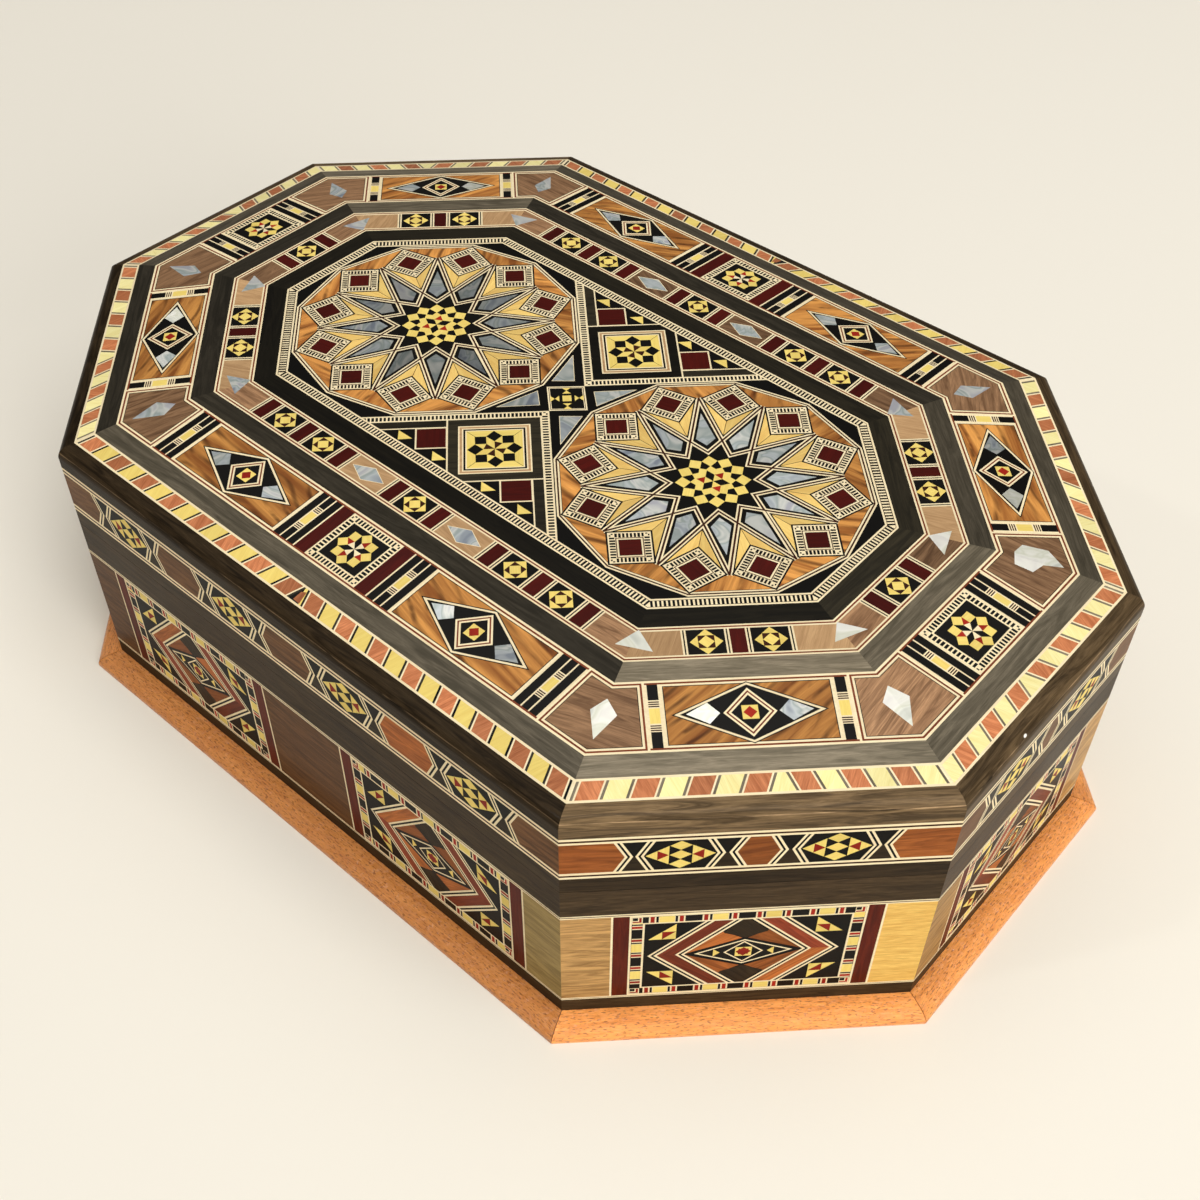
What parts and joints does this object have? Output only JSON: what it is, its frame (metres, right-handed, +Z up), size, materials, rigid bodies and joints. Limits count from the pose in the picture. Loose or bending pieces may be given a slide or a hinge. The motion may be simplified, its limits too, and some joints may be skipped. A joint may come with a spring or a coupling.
{
  "type": "jewellery box",
  "caption": "Long octagonal wooden jewellery box with a lift-off lid, covered in geometric marquetry with mother-of-pearl (shell) inlay, on a beech base moulding.",
  "frame": {"origin": "middle of the underside, on the surface that the box stands on", "axes": "+X along the length, +Y across the width from the front to the back, +Z up. The box has no marked front: front is the long side on -Y"},
  "size_m": [0.25, 0.172, 0.0685],
  "materials": {
    "wall_marquetry": "lacquered marquetry veneer, gloss",
    "lid_marquetry": "lacquered marquetry veneer with shell inlay, gloss",
    "beech": "lacquered beech, gloss",
    "plain_wood": "plain smooth wood, matt"
  },
  "bodies": {
    "root": {"box_wall_front": "wall_marquetry", "box_wall_front_right": "wall_marquetry", "box_wall_right": "wall_marquetry", "box_wall_back_right": "wall_marquetry", "box_wall_back": "wall_marquetry", "box_wall_back_left": "wall_marquetry", "box_wall_left": "wall_marquetry", "box_wall_front_left": "wall_marquetry", "base_moulding_front": "beech", "base_moulding_front_right": "beech", "base_moulding_right": "beech", "base_moulding_back_right": "beech", "base_moulding_back": "beech", "base_moulding_back_left": "beech", "base_moulding_left": "beech", "base_moulding_front_left": "beech", "lid_side_front": "wall_marquetry", "lid_side_front_right": "wall_marquetry", "lid_side_right": "wall_marquetry", "lid_side_back_right": "wall_marquetry", "lid_side_back": "wall_marquetry", "lid_side_back_left": "wall_marquetry", "lid_side_left": "wall_marquetry", "lid_side_front_left": "wall_marquetry", "box_bottom": "plain_wood", "lid_top": "lid_marquetry"}
  },
  "joints": []
}
